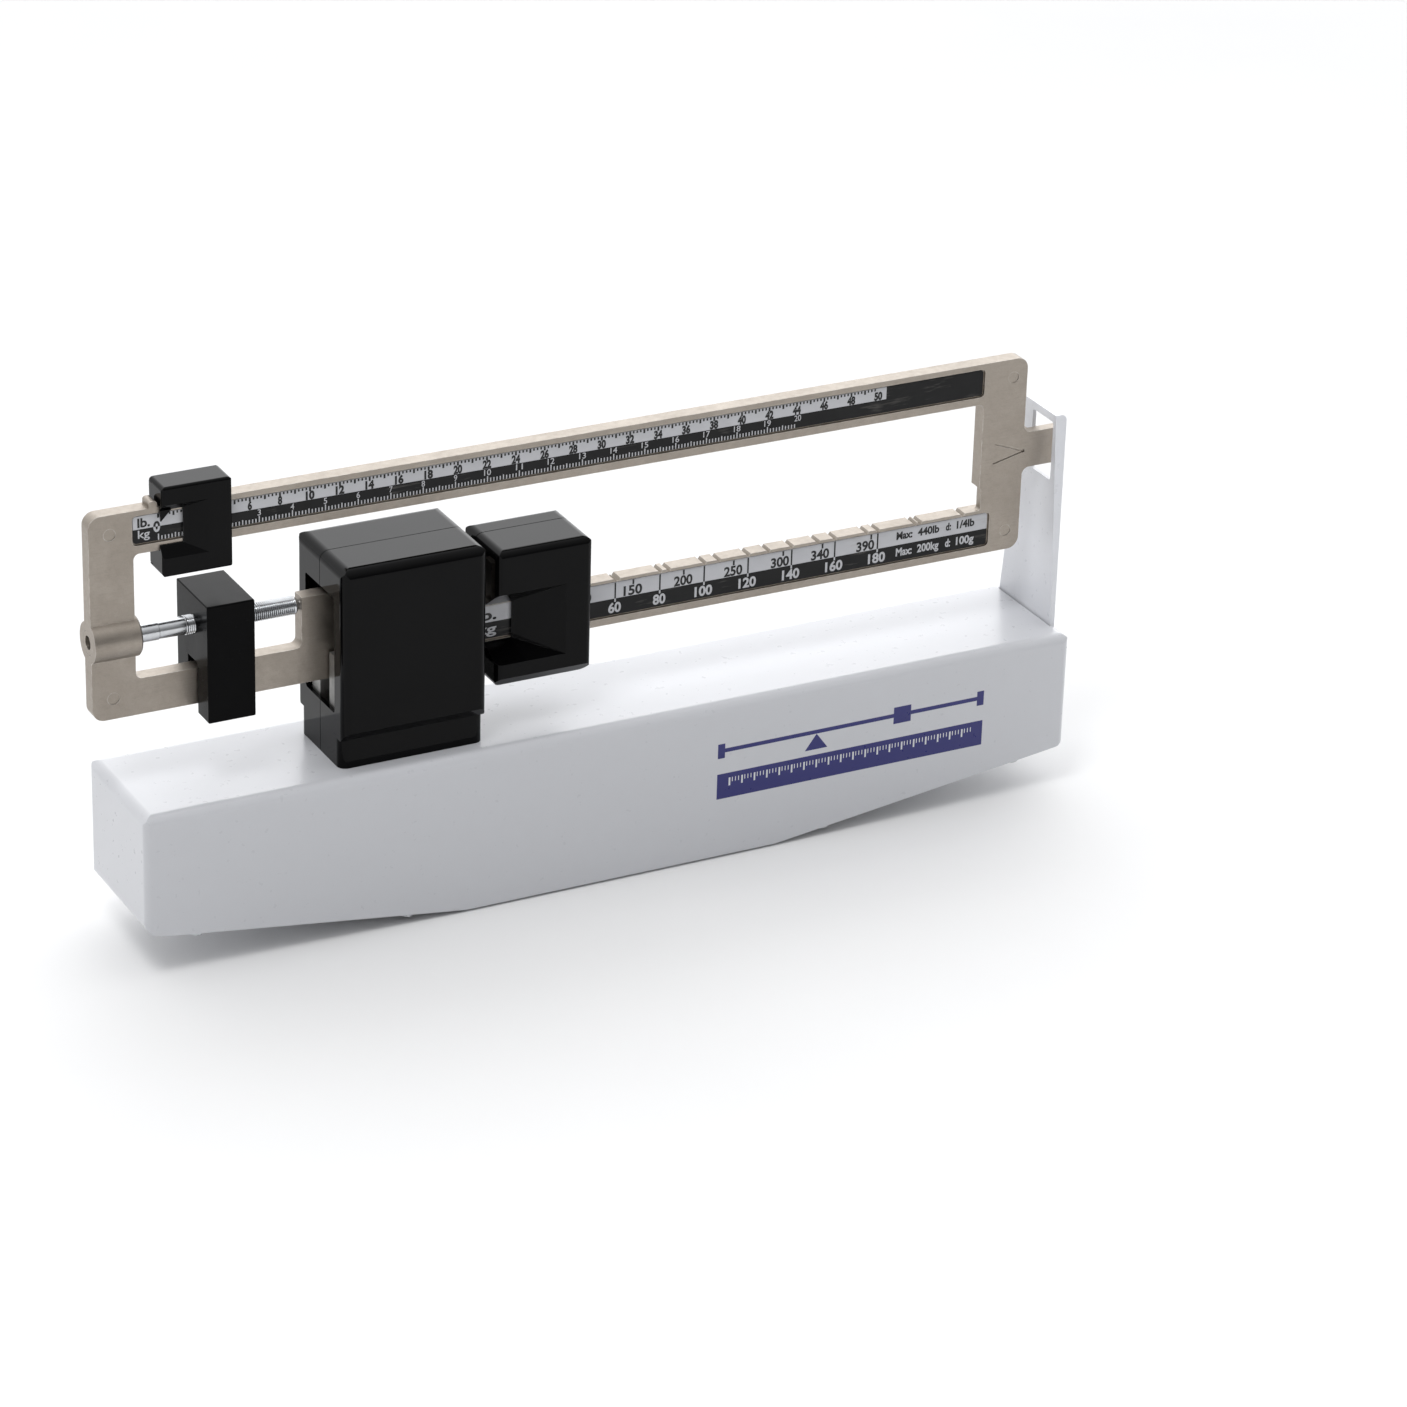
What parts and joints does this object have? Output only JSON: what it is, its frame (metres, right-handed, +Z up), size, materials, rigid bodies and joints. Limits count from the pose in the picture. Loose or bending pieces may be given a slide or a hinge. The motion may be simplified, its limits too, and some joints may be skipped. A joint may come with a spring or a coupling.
{
  "type": "weigh-beam balance head",
  "caption": "Weigh-beam balance head: die-cast beam on a knife edge with a large and a small sliding poise, zero counterweight, fulcrum cover, stop bracket and white sheet-metal housing.",
  "frame": {"origin": "centre of the flat middle of the underside, which the housing rests on", "axes": "+X along the beam from the zero end to the pointer, +Y to the back, +Z up"},
  "size_m": [0.521, 0.072, 0.2389],
  "materials": {
    "housing_paint": "gloss white powder coat",
    "bracket_paint": "gloss white powder coat",
    "zinc_plate": "bright zinc plate",
    "stand_casting": "satin die casting",
    "hard_steel": "ground hardened steel",
    "beam_nickel": "satin nickel plate on a die casting",
    "scale_print": "printed plate, white over black",
    "gloss_black": "gloss black moulding",
    "satin_black": "satin black moulding",
    "black_iron": "satin black paint on iron",
    "zinc_weight": "bare cast weight",
    "spring_steel": "spring steel strip"
  },
  "bodies": {
    "housing": {"housing_shell": "housing_paint", "bottom_cover": "housing_paint", "bottom_cover_screws": "zinc_plate", "stop_bracket": "bracket_paint", "stop_bracket_screws": "zinc_plate", "stop_bracket_nuts": "zinc_plate", "fulcrum_stand": "stand_casting", "stand_bolts": "zinc_plate", "fulcrum_bearings": "hard_steel", "bearing_guards": "zinc_plate", "guard_screws": "zinc_plate", "cover_front": "gloss_black", "cover_rear": "gloss_black", "cover_top_screws": "zinc_plate", "cover_base_screws": "zinc_plate"},
    "beam": {"beam_casting": "beam_nickel", "fulcrum_pivot": "hard_steel", "load_pivot": "hard_steel", "upper_scale_front": "scale_print", "upper_scale_back": "scale_print", "lower_scale_front": "scale_print", "lower_scale_back": "scale_print", "screw_retainer": "zinc_plate"},
    "screw": {"adjusting_screw": "zinc_plate"},
    "counterweight": {"counterweight_block": "black_iron"},
    "small_poise": {"small_poise_body": "satin_black", "small_poise_back": "satin_black", "small_poise_spring": "spring_steel", "small_poise_screws": "zinc_plate"},
    "large_poise": {"large_poise_front": "gloss_black", "large_poise_rear": "gloss_black", "large_poise_detent": "spring_steel", "large_poise_upper_weight": "zinc_weight", "large_poise_lower_weight": "zinc_weight", "large_poise_screws": "zinc_plate"},
    "hanger": {"load_stirrup": "zinc_plate", "draft_rod": "zinc_plate", "draft_nuts": "zinc_plate"}
  },
  "joints": [
    {"name": "beam_tilt", "type": "hinge", "parent": "housing", "child": "beam", "pos_m": [-0.096, -0.0017, 0.15], "axis": [0, 1, 0], "range_deg": [-1, 0.95]},
    {"name": "small_poise_slide", "type": "slide", "parent": "beam", "child": "small_poise", "axis": [1, 0, 0], "range_m": [0, 0.3808]},
    {"name": "large_poise_slide", "type": "slide", "parent": "beam", "child": "large_poise", "axis": [1, 0, 0], "range_m": [0, 0.2163]},
    {"name": "screw_turn", "type": "hinge", "parent": "beam", "child": "screw", "pos_m": [-0.2, -0.0017, 0.1642], "axis": [1, 0, 0], "range_deg": [-9725, 7925]},
    {"name": "counterweight_slide", "type": "slide", "parent": "beam", "child": "counterweight", "axis": [1, 0, 0], "range_m": [-0.022, 0.027]},
    {"name": "hanger_swing", "type": "hinge", "parent": "beam", "child": "hanger", "pos_m": [-0.124, -0.0017, 0.15], "axis": [0, 1, 0], "range_deg": [-3, 3]}
  ],
  "couplings": [
    {"joint": "screw_turn", "follows": "counterweight_slide", "rad_per_m": -6283.2}
  ]
}
